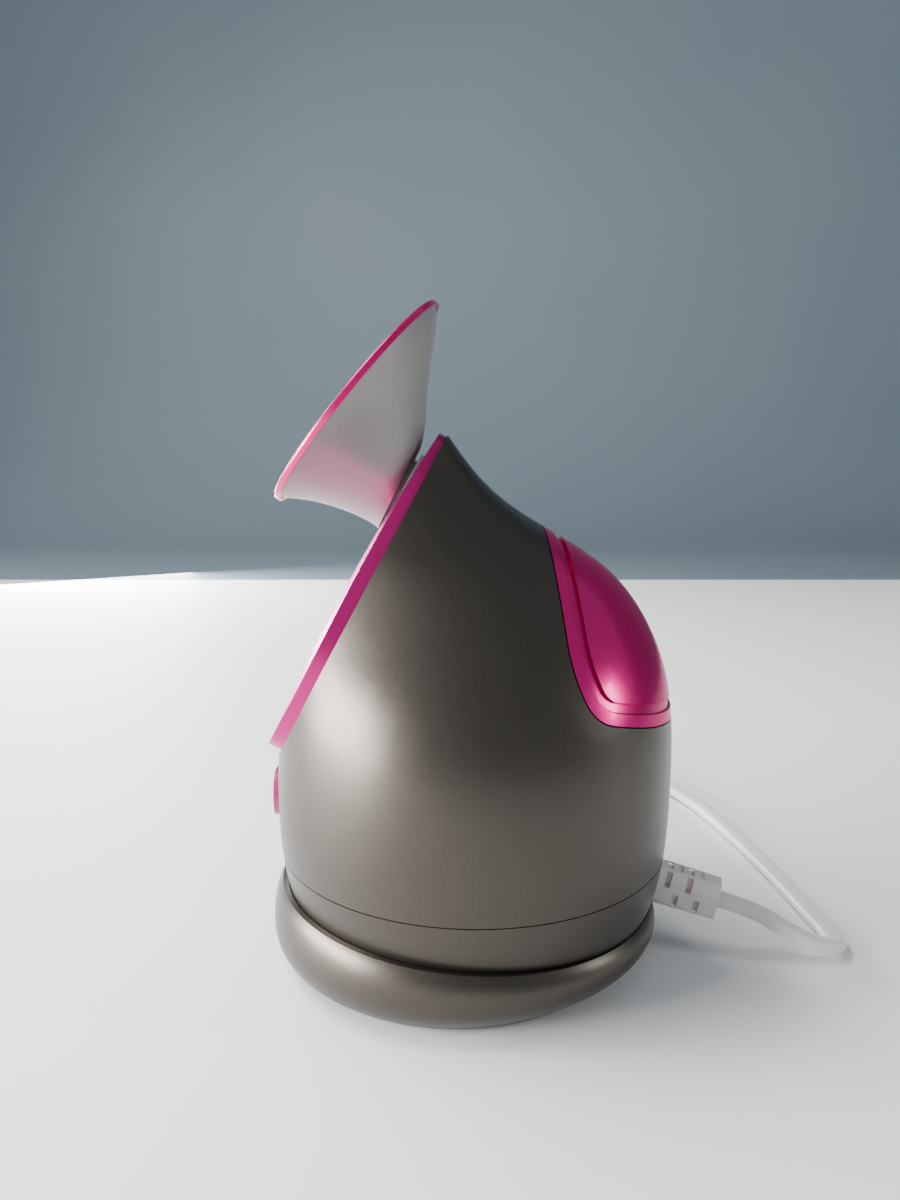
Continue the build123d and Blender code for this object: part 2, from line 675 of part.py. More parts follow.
# windowed cage that stands on the cap's floor, inside the neck, and backs the spring
CAGE_R = 6.5
CAGE_TOP_Z = SPRING_TOP_Z + SPRING_WIRE_R
with BuildPart() as spring_cage:
    with BuildSketch(Plane.XY.offset(CAP_FLOOR_Z)):
        with Locations((0, WELL_Y)):
            Circle(CAGE_R)
            Circle(CAGE_R - 0.7, mode=Mode.SUBTRACT)
    extrude(amount=CAGE_TOP_Z - CAP_FLOOR_Z)
    with BuildSketch(Plane.XY.offset(CAGE_TOP_Z)):
        with Locations((0, WELL_Y)):
            Circle(CAGE_R)
            with PolarLocations(4.0, 6):
                Circle(1.3, mode=Mode.SUBTRACT)
    extrude(amount=1.2)
    with BuildSketch(Plane.XY.offset(CAP_FLOOR_Z + 2.6)):
        with Locations((0, WELL_Y)):
            with PolarLocations(CAGE_R, 3):
                Rectangle(3.0, 7.0)
    extrude(amount=SPRING_TOP_Z - CAP_FLOOR_Z - 4.0, mode=Mode.SUBTRACT)
spring_cage.part.label = "spring_cage"
export_step(spring_cage.part, "parts/spring_cage.step")

# ---------------------------------------------------------------- basin and mist chamber
BASIN_SPAN = WELL_Y - MIST_Y
BASIN_MID_Y = (WELL_Y + MIST_Y) / 2
LID_T = 2.0
PIEZO_R = 10.0
PIEZO_BORE_R = 8.2


def basin_slab(grow, bottom, height):
    """An upright slot-shaped block round the mist chamber and the well."""
    with BuildPart() as slab:
        with BuildSketch(Plane.XY.offset(bottom)):
            with Locations(Location((0, BASIN_MID_Y), 90)):
                SlotCenterToCenter(BASIN_SPAN, 2 * (BASIN_R + grow))
        extrude(amount=height)
    return slab.part


BASIN_RIM = 1.8
GASKET_T = 0.6
with BuildPart() as water_basin:
    add(basin_slab(0, BASIN_FLOOR_Z, BASIN_TOP_Z - BASIN_FLOOR_Z))
    add(basin_slab(BASIN_RIM, BASIN_TOP_Z - BASIN_RIM, BASIN_RIM))
    add(basin_slab(-BASIN_WALL, BASIN_FLOOR_Z + BASIN_WALL, 40), mode=Mode.SUBTRACT)
    with BuildSketch(Plane.XY.offset(BASIN_FLOOR_Z)):
        with Locations((0, MIST_Y)):
            Circle(PIEZO_BORE_R)
    extrude(amount=10, mode=Mode.SUBTRACT)
    # float post, and the pin that lifts the valve
    with BuildSketch(Plane.XY.offset(BASIN_FLOOR_Z + 1)):
        with Locations((0, FLOAT_Y)):
            Circle(FLOAT_POST_R)
    extrude(amount=12.8)
    with BuildSketch(Plane.XY.offset(BASIN_FLOOR_Z + 1)):
        with Locations((0, WELL_Y)):
            Circle(1.6)
    extrude(amount=CAP_BOTTOM_Z - 0.8 - BASIN_FLOOR_Z - 1)
    # legs down to the base plate
    with BuildSketch(Plane.XY.offset(FLOOR_Z)):
        with Locations(*BASIN_LEGS):
            Circle(BASIN_LEG_R)
    extrude(amount=BASIN_FLOOR_Z + 0.5 - FLOOR_Z)
water_basin.part.label = "water_basin"
export_step(water_basin.part, "parts/water_basin.step")

with BuildPart() as basin_gasket:
    add(basin_slab(BASIN_RIM - 0.2, BASIN_TOP_Z, GASKET_T))
    add(basin_slab(-BASIN_WALL + 0.2, BASIN_TOP_Z - 1, 3), mode=Mode.SUBTRACT)
basin_gasket.part.label = "basin_gasket"
export_step(basin_gasket.part, "parts/basin_gasket.step")

LID_Z = BASIN_TOP_Z + GASKET_T
LID_SPIGOT_TOP = LID_Z + 6
AIR_Z = LID_Z + 12.6
with BuildPart() as basin_lid:
    add(basin_slab(BASIN_RIM, LID_Z, LID_T))
    with BuildSketch(Plane.XY.offset(LID_Z)):
        with Locations((0, MIST_Y)):
            Circle(CHIMNEY_R + 3.2)
    extrude(amount=LID_SPIGOT_TOP - LID_Z)
    with BuildSketch(Plane.XY.offset(LID_Z)):
        with Locations((0, MIST_Y)):
            Circle(CHIMNEY_R + 1.2)
        with Locations((0, WELL_Y)):
            Circle(WELL_R + WALL + 0.2)
    extrude(amount=30, mode=Mode.SUBTRACT)
basin_lid.part.label = "basin_lid"
export_step(basin_lid.part, "parts/basin_lid.step")

# chimney: up from the chamber, then a bend to meet the collar square on
SOCKET_R = 12.2
SOCKET_BORE_R = 11.2
SOCKET_DEPTH = 3.0
SOCKET_TAPER = 3.4
bend = 90 - PANEL_TILT
bend_top = Vector(*nozzle_plane.origin) + Vector(*OUTWARD) * (collar_back - SOCKET_DEPTH - SOCKET_TAPER)
bend_end_y = MIST_Y - CHIMNEY_BEND_R * (1 - cos(radians(bend)))
straight = (bend_end_y - bend_top.Y) / cos(radians(PANEL_TILT))
bend_start_z = bend_top.Z - straight * sin(radians(PANEL_TILT)) - CHIMNEY_BEND_R * sin(radians(bend))
print("chimney straight", round(straight, 2), "bend starts at", round(bend_start_z, 2))


def chimney_bar(radius):
    """A round bar along the chimney's centre line, from the lid to the socket."""
    with BuildPart() as bar:
        with BuildLine(Plane.YZ) as centre_line:
            rise = Line((MIST_Y, LID_Z), (MIST_Y, bend_start_z))
            turn = JernArc(rise @ 1, (0, 1), CHIMNEY_BEND_R, bend)
            Line(turn @ 1, (bend_top.Y, bend_top.Z))
        with BuildSketch(Plane.XY.offset(LID_Z)):
            with Locations((0, MIST_Y)):
                Circle(radius)
        sweep(path=centre_line.line)
    return bar.part


socket_plane = nozzle_plane.offset(collar_back - SOCKET_DEPTH)
with BuildPart() as mist_duct:
    add(chimney_bar(CHIMNEY_R))
    with BuildSketch(socket_plane.offset(-SOCKET_TAPER)):
        Circle(CHIMNEY_R)
    with BuildSketch(socket_plane):
        Circle(SOCKET_R)
    loft()
    with BuildSketch(socket_plane):
        Circle(SOCKET_R)
    extrude(amount=SOCKET_DEPTH)
    with BuildSketch(Plane.XY.offset(LID_SPIGOT_TOP)):
        with Locations((0, MIST_Y)):
            Circle(CHIMNEY_R + 3.2)
    extrude(amount=1.4)
    # side inlet for the fan's air
    with BuildSketch(Plane(origin=(0, MIST_Y, AIR_Z), x_dir=(0, 1, 0), z_dir=(-1, 0, 0))):
        Circle(AIR_R)
    extrude(amount=CHIMNEY_R + 5)
    add(chimney_bar(CHIMNEY_BORE_R), mode=Mode.SUBTRACT)
    with BuildSketch(Plane(origin=(0, MIST_Y, AIR_Z), x_dir=(0, 1, 0), z_dir=(-1, 0, 0))):
        Circle(AIR_BORE_R)
    extrude(amount=CHIMNEY_R + 8, mode=Mode.SUBTRACT)
    with BuildSketch(socket_plane.offset(-SOCKET_TAPER)):
        Circle(CHIMNEY_BORE_R)
    with BuildSketch(socket_plane):
        Circle(SOCKET_BORE_R)
    loft(mode=Mode.SUBTRACT)
    with BuildSketch(socket_plane):
        Circle(SOCKET_BORE_R)
    extrude(amount=10, mode=Mode.SUBTRACT)
mist_duct.part.label = "mist_duct"
export_step(mist_duct.part, "parts/mist_duct.step")

with BuildPart() as piezo_disc:
    with BuildSketch(Plane.XY.offset(BASIN_FLOOR_Z - 1.9)):
        with Locations((0, MIST_Y)):
            Circle(PIEZO_R)
    extrude(amount=1.2)
piezo_disc.part.label = "piezo_disc"
export_step(piezo_disc.part, "parts/piezo_disc.step")

with BuildPart() as piezo_seal:
    with BuildSketch(Plane.XY.offset(BASIN_FLOOR_Z - 2.4)):
        with Locations((0, MIST_Y)):
            Circle(PIEZO_R + 1.5)
    extrude(amount=2.4)
    with BuildSketch(Plane.XY.offset(BASIN_FLOOR_Z - 1.9)):
        with Locations((0, MIST_Y)):
            Circle(PIEZO_R)
    extrude(amount=1.2, mode=Mode.SUBTRACT)
    with BuildSketch(Plane.XY.offset(BASIN_FLOOR_Z - 3)):
        with Locations((0, MIST_Y)):
            Circle(PIEZO_BORE_R)
    extrude(amount=4, mode=Mode.SUBTRACT)
piezo_seal.part.label = "piezo_seal"
export_step(piezo_seal.part, "parts/piezo_seal.step")

with BuildPart() as piezo_clamp:
    with BuildSketch(Plane.XY.offset(BASIN_FLOOR_Z - 3.9)):
        with Locations(Location((0, MIST_Y))):
            SlotOverall(30.0, 2 * PIEZO_R + 2)
            Circle(PIEZO_BORE_R - 1.5, mode=Mode.SUBTRACT)
            with GridLocations(26.4, 0, 2, 1):
                Circle(1.1, mode=Mode.SUBTRACT)
    extrude(amount=1.5)
piezo_clamp.part.label = "piezo_clamp"
export_step(piezo_clamp.part, "parts/piezo_clamp.step")

with BuildPart() as clamp_screws:
    with BuildSketch(Plane.XY.offset(BASIN_FLOOR_Z - 3.9)):
        with Locations((0, MIST_Y)):
            with GridLocations(26.4, 0, 2, 1):
                Circle(1.0)
    extrude(amount=3.9)
    with BuildSketch(Plane.XY.offset(BASIN_FLOOR_Z - 5.1)):
        with Locations((0, MIST_Y)):
            with GridLocations(26.4, 0, 2, 1):
                Circle(1.9)
    extrude(amount=1.2)
clamp_screws.part.label = "clamp_screws"
export_step(clamp_screws.part, "parts/clamp_screws.step")

# ---------------------------------------------------------------- level float
FLOAT_BOTTOM = BASIN_FLOOR_Z + BASIN_WALL + 0.3
with BuildPart() as water_float:
    with BuildSketch(Plane.XY.offset(FLOAT_BOTTOM)):
        with Locations((0, FLOAT_Y)):
            Circle(5.0)
            Circle(FLOAT_POST_R + 0.3, mode=Mode.SUBTRACT)
    extrude(amount=6.0)
    fillet(water_float.faces().sort_by(Axis.Z)[-1].edges().sort_by(SortBy.RADIUS)[-1], radius=0.8)
    with BuildSketch(Plane.XY.offset(FLOAT_BOTTOM)):
        with Locations((0, FLOAT_Y)):
            Circle(4.3)
            Circle(FLOAT_POST_R + 0.8, mode=Mode.SUBTRACT)
    extrude(amount=2.0, mode=Mode.SUBTRACT)
water_float.part.label = "water_float"
export_step(water_float.part, "parts/water_float.step")

with BuildPart() as float_magnet:
    with BuildSketch(Plane.XY.offset(FLOAT_BOTTOM)):
        with Locations((0, FLOAT_Y)):
            Circle(4.3)
            Circle(FLOAT_POST_R + 0.8, mode=Mode.SUBTRACT)
    extrude(amount=2.0)
float_magnet.part.label = "float_magnet"
export_step(float_magnet.part, "parts/float_magnet.step")

# ---------------------------------------------------------------- fan and its duct
FAN_SIDE = 34.0
FAN_H = 10.0
FAN_BORE_R = 16.0
FAN_BLADES = 7
HUB_R = 6.5
with BuildPart() as fan_frame:
    with BuildSketch(Plane.XY.offset(FLOOR_Z)):
        with Locations(FAN_CENTRE):
            RectangleRounded(FAN_SIDE, FAN_SIDE, 3)
            Circle(FAN_BORE_R, mode=Mode.SUBTRACT)
    extrude(amount=FAN_H)
    with BuildSketch(Plane.XY.offset(FLOOR_Z)):
        with Locations(FAN_CENTRE):
            Circle(HUB_R)
            with PolarLocations(0, 4):
                with Locations((11.5, 0)):
                    Rectangle(11, 1.6)
    extrude(amount=1.4)
    with BuildSketch(Plane.XY.offset(FLOOR_Z)):
        with Locations(FAN_CENTRE):
            Circle(2.0)
            Circle(1.05, mode=Mode.SUBTRACT)
    extrude(amount=6.0)
    with BuildSketch(Plane.XY.offset(FLOOR_Z)):
        with Locations(FAN_CENTRE):
            Circle(1.05)
    extrude(amount=FAN_H, mode=Mode.SUBTRACT)
fan_frame.part.label = "fan_frame"
export_step(fan_frame.part, "parts/fan_frame.step")

with BuildPart() as fan_stator:
    with BuildSketch(Plane.XY.offset(FLOOR_Z + 1.4)):
        with Locations(FAN_CENTRE):
            Circle(3.0)
            with PolarLocations(0, 4):
                with Locations((3.2, 0)):
                    Rectangle(3.0, 1.6)
            with PolarLocations(4.6, 4):
                Rectangle(1.0, 4.0)
            Circle(2.0, mode=Mode.SUBTRACT)
    extrude(amount=4.0)
fan_stator.part.label = "fan_stator"
export_step(fan_stator.part, "parts/fan_stator.step")

with BuildPart() as fan_impeller:
    hub_bottom = FLOOR_Z + 1.8
    with BuildSketch(Plane.XY.offset(hub_bottom)):
        with Locations(FAN_CENTRE):
            Circle(HUB_R)
    extrude(amount=FAN_H - 2.4)
    with BuildSketch(Plane.XY.offset(hub_bottom)):
        with Locations(FAN_CENTRE):
            Circle(HUB_R - 0.8)
    extrude(amount=5.2, mode=Mode.SUBTRACT)
    with BuildSketch(Plane.XY.offset(FLOOR_Z + 0.4)):
        with Locations(FAN_CENTRE):
            Circle(1.0)
    extrude(amount=7.2)
    for blade in range(FAN_BLADES):
        angle = 360 / FAN_BLADES * blade
        blade_plane = Plane(
            origin=(FAN_CENTRE[0], FAN_CENTRE[1], hub_bottom + 3.4),
            z_dir=(cos(radians(angle)), sin(radians(angle)), 0), x_dir=(0, 0, 1),
        ).offset(HUB_R - 0.4)
        with BuildSketch(blade_plane):
            Rectangle(0.9, 7.4, rotation=38)
        with BuildSketch(blade_plane.offset(FAN_BORE_R - HUB_R - 0.3)):
            Rectangle(0.9, 9.0, rotation=56)
        loft()
    with BuildSketch(Plane.XY.offset(FLOOR_Z)):
        with Locations(FAN_CENTRE):
            Circle(FAN_BORE_R - 0.5)
    extrude(amount=FAN_H, mode=Mode.INTERSECT)
    with BuildSketch(Plane.XY.offset(FLOOR_Z)):
        with Locations(FAN_CENTRE):
            Circle(FAN_BORE_R + 4)
            Circle(HUB_R - 0.8, mode=Mode.SUBTRACT)
    extrude(amount=1.8, mode=Mode.SUBTRACT)
fan_impeller.part.label = "fan_impeller"
export_step(fan_impeller.part, "parts/fan_impeller.step")

AIR_DUCT_X = -25.5
AIR_DUCT_BASE_Z = FLOOR_Z + FAN_H
AIR_DUCT_NECK_Z = 30.0


def air_duct_core(inset):
    """A hood over the fan that narrows to a pipe up to the chimney's side inlet."""
    with BuildPart() as core:
        with BuildSketch(Plane.XY.offset(AIR_DUCT_BASE_Z)):
            with Locations(FAN_CENTRE):
                Circle(FAN_BORE_R + 0.5 - inset)
        with BuildSketch(Plane.XY.offset(AIR_DUCT_NECK_Z)):
            with Locations((AIR_DUCT_X, MIST_Y)):
                Circle(AIR_R - inset)
        loft()
        with BuildLine(Plane.XZ.offset(-MIST_Y)) as pipe_line:
            FilletPolyline(
                (AIR_DUCT_X, AIR_DUCT_NECK_Z), (AIR_DUCT_X, AIR_Z), (-CHIMNEY_R - 5, AIR_Z),
                radius=8,
            )
        with BuildSketch(Plane.XY.offset(AIR_DUCT_NECK_Z)):
            with Locations((AIR_DUCT_X, MIST_Y)):
                Circle(AIR_R - inset)
        sweep(path=pipe_line.line)
    return core.part


with BuildPart() as air_duct:
    add(air_duct_core(0))
    add(air_duct_core(1.0), mode=Mode.SUBTRACT)
air_duct.part.label = "air_duct"
export_step(air_duct.part, "parts/air_duct.step")

# ---------------------------------------------------------------- circuit boards
POWER_BOARD = (21.0, -2.5, 26.0, 37.0)       # centre X, centre Y, width, depth
DRIVER_BOARD = (-5.0, 24.2, 34.0, 12.8)
BOARD_TOP = BOARD_Z + BOARD_T
BOARD_HOLE_R = 1.1
with BuildPart() as power_board:
    with BuildSketch(Plane.XY.offset(BOARD_Z)):
        with Locations(POWER_BOARD[:2]):
            Rectangle(*POWER_BOARD[2:])
        with Locations(*POWER_PEGS):
            Circle(BOARD_HOLE_R, mode=Mode.SUBTRACT)
    extrude(amount=BOARD_T)
power_board.part.label = "power_board"
export_step(power_board.part, "parts/power_board.step")

with BuildPart() as driver_board:
    with BuildSketch(Plane.XY.offset(BOARD_Z)):
        with Locations(DRIVER_BOARD[:2]):
            Rectangle(*DRIVER_BOARD[2:])
        with Locations(*DRIVER_PEGS):
            Circle(BOARD_HOLE_R, mode=Mode.SUBTRACT)
    extrude(amount=BOARD_T)
driver_board.part.label = "driver_board"
export_step(driver_board.part, "parts/driver_board.step")

SWITCH_BOARD_T = 1.6
SWITCH_BOARD_W = 21.6
SWITCH_BOARD_H = 24.4
with BuildPart() as switch_board:
    with BuildSketch(switch_plane.offset(-SWITCH_BOARD_T)):
        with Locations((0, 0.8)):
            Rectangle(SWITCH_BOARD_W, SWITCH_BOARD_H)
        with Locations(*SWITCH_BOSSES):
            Circle(BOARD_HOLE_R, mode=Mode.SUBTRACT)
    extrude(amount=SWITCH_BOARD_T)
switch_board.part.label = "switch_board"
export_step(switch_board.part, "parts/switch_board.step")

SMALL_SHANK_R = 1.0
SMALL_HEAD_R = 1.9
with BuildPart() as board_screws:
    for plane, places in (
            (Plane.XY.offset(BOARD_TOP), POWER_PEGS + DRIVER_PEGS),
            (switch_plane.offset(-SWITCH_BOARD_T).rotated((180, 0, 0)),
             [(x, -z) for x, z in SWITCH_BOSSES])):
        with BuildSketch(plane):
            with Locations(*places):
                Circle(SMALL_HEAD_R)
        extrude(amount=1.2)
        with BuildSketch(plane):
            with Locations(*places):
                Circle(SMALL_SHANK_R)
        extrude(amount=-5.0)
board_screws.part.label = "board_screws"
export_step(board_screws.part, "parts/board_screws.step")

with BuildPart() as power_transformer:
    with Locations((18, -8, BOARD_TOP)):
        Box(13, 12, 4, align=(Align.CENTER, Align.CENTER, Align.MIN))
    with Locations((18, -8, BOARD_TOP + 4)):
        Box(10, 12, 5, align=(Align.CENTER, Align.CENTER, Align.MIN))
    with Locations((18, -8, BOARD_TOP + 9)):
        Box(13, 12, 3.5, align=(Align.CENTER, Align.CENTER, Align.MIN))
power_transformer.part.label = "power_transformer"
export_step(power_transformer.part, "parts/power_transformer.step")

with BuildPart() as power_capacitor:
    with BuildSketch(Plane.XY.offset(BOARD_TOP)):
        with Locations((29.4, -5)):
            Circle(4.5)
    extrude(amount=14)
    fillet(power_capacitor.faces().sort_by(Axis.Z)[-1].edges(), radius=0.8)
power_capacitor.part.label = "power_capacitor"
export_step(power_capacitor.part, "parts/power_capacitor.step")

BLOCK_FACE_Y = 12.0
LEAD_X = (17.4, 22.4)
LEAD_Z = 15.4
LEAD_R = 1.1
with BuildPart() as terminal_block:
    with Locations((19.9, BLOCK_FACE_Y, BOARD_TOP)):
        Box(10.4, 8, 9, align=(Align.CENTER, Align.MAX, Align.MIN))
    with BuildSketch(Plane.XY.offset(BOARD_TOP + 9)):
        with Locations((LEAD_X[0], BLOCK_FACE_Y - 4), (LEAD_X[1], BLOCK_FACE_Y - 4)):
            Circle(1.6)
    extrude(amount=-1.5, mode=Mode.SUBTRACT)
terminal_block.part.label = "terminal_block"
export_step(terminal_block.part, "parts/terminal_block.step")

SINK_X = -6.0
SINK_FACE_Y = 23.2
with BuildPart() as heat_sink:
    with BuildSketch(Plane.XY.offset(BOARD_TOP)):
        with Locations((SINK_X, SINK_FACE_Y + 0.8)):
            Rectangle(16, 1.6)
        with Locations((SINK_X, SINK_FACE_Y + 3.6)):
            with GridLocations(3.75, 0, 5, 1):
                Rectangle(1.0, 4.4)
    extrude(amount=14)
heat_sink.part.label = "heat_sink"
export_step(heat_sink.part, "parts/heat_sink.step")

with BuildPart() as driver_transistor:
    with Locations((SINK_X, SINK_FACE_Y, BOARD_TOP + 2)):
        Box(8, 2.4, 8, align=(Align.CENTER, Align.MAX, Align.MIN))
    with BuildSketch(Plane.XY.offset(BOARD_TOP)):
        with Locations((SINK_X, SINK_FACE_Y - 1.2)):
            with GridLocations(2.54, 0, 3, 1):
                Rectangle(0.8, 0.6)
    extrude(amount=2)
driver_transistor.part.label = "driver_transistor"
export_step(driver_transistor.part, "parts/driver_transistor.step")

# ---------------------------------------------------------------- power button
BUTTON_BACK_Y = -49.3
STEM_END_Y = -46.0
SWITCH_PLUNGER_R = 1.5
with BuildPart() as button_flange:
    with BuildSketch(button_plane.offset(-BUTTON_BACK_Y)):
        Ellipse(BUTTON_HALF[0] + 1.5, BUTTON_HALF[1] + 1.5)
    extrude(amount=20)
    add(teardrop(WALL + 0.2), mode=Mode.INTERSECT)

with BuildPart() as power_button:
    with BuildSketch(button_plane.offset(-BUTTON_BACK_Y)):
        Ellipse(*BUTTON_HALF)
    extrude(amount=20)
    add(teardrop(-BUTTON_PROUD), mode=Mode.INTERSECT)
    add(button_flange.part)
    with BuildSketch(button_plane.offset(-STEM_END_Y)):
        Circle(1.6)
    extrude(amount=STEM_END_Y - BUTTON_BACK_Y + 0.5)
power_button.part.label = "power_button"
export_step(power_button.part, "parts/power_button.step")

SWITCH_FACE_Y = -44.5
with BuildPart() as switch_plunger:
    with BuildSketch(button_plane.offset(-SWITCH_FACE_Y - 0.2)):
        Circle(SWITCH_PLUNGER_R)
    extrude(amount=SWITCH_FACE_Y + 0.2 - STEM_END_Y)
switch_plunger.part.label = "switch_plunger"
export_step(switch_plunger.part, "parts/switch_plunger.step")

with BuildPart() as tact_switch:
    with BuildSketch(switch_plane):
        Rectangle(6.2, 6.2)
    extrude(amount=SWITCH_BOARD_Y - SWITCH_FACE_Y)
    with BuildSketch(button_plane.offset(-SWITCH_FACE_Y)):
        Circle(SWITCH_PLUNGER_R + RUNNING)
    extrude(amount=-1.7, mode=Mode.SUBTRACT)
tact_switch.part.label = "tact_switch"
export_step(tact_switch.part, "parts/tact_switch.step")

with BuildPart() as indicator_led:
    with BuildSketch(switch_plane):
        with Locations((5.6, 0)):
            Circle(1.5)
    extrude(amount=4.5)
    fillet(indicator_led.faces().sort_by(Axis.Y)[0].edges(), radius=1.2)
indicator_led.part.label = "indicator_led"
export_step(indicator_led.part, "parts/indicator_led.step")

# ---------------------------------------------------------------- strain relief
RELIEF_END_W = 8.6
RELIEF_END_H = 11.8
RELIEF_SLOTS = 4
SLOT_PITCH = 3.1
SLOT_W = 1.7
SLOT_DEPTH = 3.0
FIRST_SLOT = 8.6

with BuildPart() as relief_flange:
    with BuildSketch(relief_plane.offset(-3.2)):
        RectangleRounded(RELIEF_W + 1.6, RELIEF_H + 1.6, 3.0)
    extrude(amount=12)
    add(teardrop(WALL + 0.1), mode=Mode.INTERSECT)

with BuildPart() as relief_tail:
    with BuildSketch(relief_plane.offset(1.0)):
        RectangleRounded(RELIEF_W, RELIEF_H, 3.0)
    with BuildSketch(relief_plane.offset(RELIEF_LENGTH)):
        RectangleRounded(RELIEF_END_W, RELIEF_END_H, 2.8)
    loft()
    add(teardrop(-0.1), mode=Mode.SUBTRACT)

with BuildPart() as strain_relief:
    add(relief_flange.part)
    add(relief_tail.part)
    with BuildSketch(relief_plane.offset(-1.0)):
        RectangleRounded(RELIEF_W - 1.2, RELIEF_H - 1.2, 2.8)
    extrude(amount=8)
    for slot in range(RELIEF_SLOTS):
        height = RELIEF_H / 4 * (1 if slot % 2 == 0 else -1)
        with BuildSketch(relief_plane.offset(FIRST_SLOT + slot * SLOT_PITCH)):
            with Locations((RELIEF_W / 2, height), (-RELIEF_W / 2, height)):
                Rectangle(2 * SLOT_DEPTH, RELIEF_H / 2 - 1.6)
            with Locations((0, RELIEF_H / 2), (0, -RELIEF_H / 2)):
                Rectangle(5.0, 1.6)
        extrude(amount=SLOT_W, mode=Mode.SUBTRACT)
strain_relief.part.label = "strain_relief"
export_step(strain_relief.part, "parts/strain_relief.step")

LEAD_BEND_R = 5.0
with BuildPart() as inner_leads:
    for side, end_x, first_turn, second_turn in (
            (-1, LEAD_X[1], (18.0, 41.0, 19.0), (22.4, 31.0, LEAD_Z)),
            (1, LEAD_X[0], (12.5, 39.0, 19.0), (17.4, 29.0, LEAD_Z))):
        start_plane = relief_plane.offset(-3.2)
        start = start_plane.from_local_coords((side * 1.4, 0, 0))
        inside = start_plane.from_local_coords((side * 1.4, 0, -6.0))
        with BuildLine() as lead_line:
            FilletPolyline(
                start, inside, first_turn, second_turn, (end_x, BLOCK_FACE_Y, LEAD_Z),
                radius=LEAD_BEND_R,
            )
        with BuildSketch(Plane(origin=start, z_dir=lead_line.line % 0)):
            Circle(LEAD_R)
        sweep(path=lead_line.line)
inner_leads.part.label = "inner_leads"
export_step(inner_leads.part, "parts/inner_leads.step")

# ---------------------------------------------------------------- cord and plug
CORD_ROUTE = [
    CORD_EXIT, (8.7, 85.9, 11.9), (14.0, 94.6, 7.8), (16.6, 101.6, 5.0), (14.4, 108.5, 3.4),
    (6.6, 110.6, CORD_Z), (-5.0, 109.4, CORD_Z), (-22.0, 108.2, CORD_Z),
    (-47.0, 105.5, CORD_Z), (-75.0, 101.4, CORD_Z), (-100.0, 96.0, CORD_Z),
    (-126.0, 84.0, CORD_Z), (-147.0, 65.0, CORD_Z), (-157.3, 43.0, CORD_Z),
    (-157.3, 27.0, CORD_Z),
]
TAIL_ROUTE = [
    (-136.5, -21.1, 11.2), (-126.4, -31.2, 9.2), (-113.0, -36.8, 6.8), (-98.5, -36.8, 6.8),
]
COIL_TURNS = 5.125
PLUG_FACE = TAIL_ROUTE[-1]


def bend_radii(route):
    """The largest easy arc at each corner of a route, 0.45 of its shorter run at each end."""
    radii = []
    for before, here, after in zip(route, route[1:], route[2:]):
        run_in = Vector(*here) - Vector(*before)
        run_out = Vector(*after) - Vector(*here)
        half_turn = radians(run_in.get_angle(run_out) / 2)
        radii.append(0.45 * min(run_in.length, run_out.length) / tan(half_turn))
    return radii


with BuildPart() as power_cord:
    for route in (CORD_ROUTE, TAIL_ROUTE):
        with BuildLine() as lay:
            FilletPolyline(*route, radius=bend_radii(route))
        with BuildSketch(Plane(
                origin=lay.line @ 0, x_dir=Vector(0, 0, 1).cross(lay.line % 0),
                z_dir=lay.line % 0)):
            Ellipse(CORD_W / 2, CORD_T / 2)
        sweep(path=lay.line)
        print("cord run", round(lay.wires()[0].length, 1), "radii",
              [round(radius, 1) for radius in bend_radii(route)])
    print("cord volume", round(power_cord.part.volume, 1))
power_cord.part.label = "power_cord"
export_step(power_cord.part, "parts/power_cord.step")

with BuildPart() as cord_coil:
    with BuildSketch():
        with Locations(COIL_CENTRE):
            Circle(COIL_OUT_R)
            Circle(COIL_IN_R, mode=Mode.SUBTRACT)
    extrude(amount=COIL_HEIGHT)
    chamfer(cord_coil.edges(), length=1.2)
cord_coil.part.label = "cord_coil"
export_step(cord_coil.part, "parts/cord_coil.step")
print("coiled length", round(COIL_TURNS * 2 * pi * COIL_MID_R, 1))

PLUG_LENGTH = 26.0
PLUG_W = 24.0
PLUG_T = 13.0
BLADE_W = 6.3
BLADE_T = 1.5
BLADE_LENGTH = 16.5
BLADE_PITCH = 12.7
plug_plane = Plane(origin=PLUG_FACE, x_dir=(0, 1, 0), z_dir=(1, 0, 0))
with BuildPart() as plug_body:
    for along, width, thick in (
            (0, 9.0, 8.0), (10, 16.0, 11.5), (18, PLUG_W, PLUG_T), (PLUG_LENGTH, PLUG_W, PLUG_T)):
        with BuildSketch(plug_plane.offset(along)):
            RectangleRounded(width, thick, 3.6)
    loft(ruled=True)
plug_body.part.label = "plug_body"
export_step(plug_body.part, "parts/plug_body.step")

with BuildPart() as plug_blades:
    with BuildSketch(plug_plane.offset(PLUG_LENGTH)):
        with GridLocations(BLADE_PITCH, 0, 2, 1):
            Rectangle(BLADE_T, BLADE_W)
    extrude(amount=BLADE_LENGTH)
    chamfer(plug_blades.faces().sort_by(Axis.X)[-2:].edges(), length=0.4)
plug_blades.part.label = "plug_blades"
export_step(plug_blades.part, "parts/plug_blades.step")
